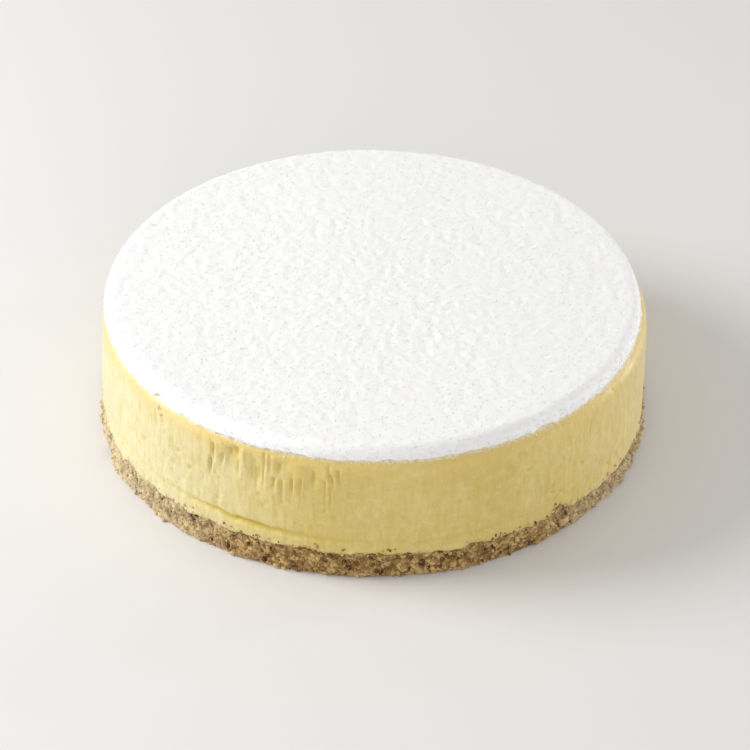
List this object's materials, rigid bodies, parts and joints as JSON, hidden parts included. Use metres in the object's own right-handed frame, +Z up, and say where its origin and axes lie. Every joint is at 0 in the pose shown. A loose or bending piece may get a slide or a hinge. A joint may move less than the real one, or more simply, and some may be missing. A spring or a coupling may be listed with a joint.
{
  "type": "baked cheesecake",
  "caption": "Whole round baked cheesecake: a crumb base, a tall cheese filling and a thin white sugary topping.",
  "frame": {"origin": "middle of the flat underside of the crumb base", "axes": "+Z up through the layers, -Y towards the front, where the deepest crease shows left of the middle"},
  "size_m": [0.211, 0.2112, 0.0571],
  "materials": {
    "crumb": "coarse dry biscuit crumb",
    "filling": "smooth baked cheese, satin",
    "topping": "fine white grains, matte"
  },
  "bodies": {
    "root": {"crumb_base": "crumb", "cheese_filling": "filling", "sugar_topping": "topping"}
  },
  "joints": []
}
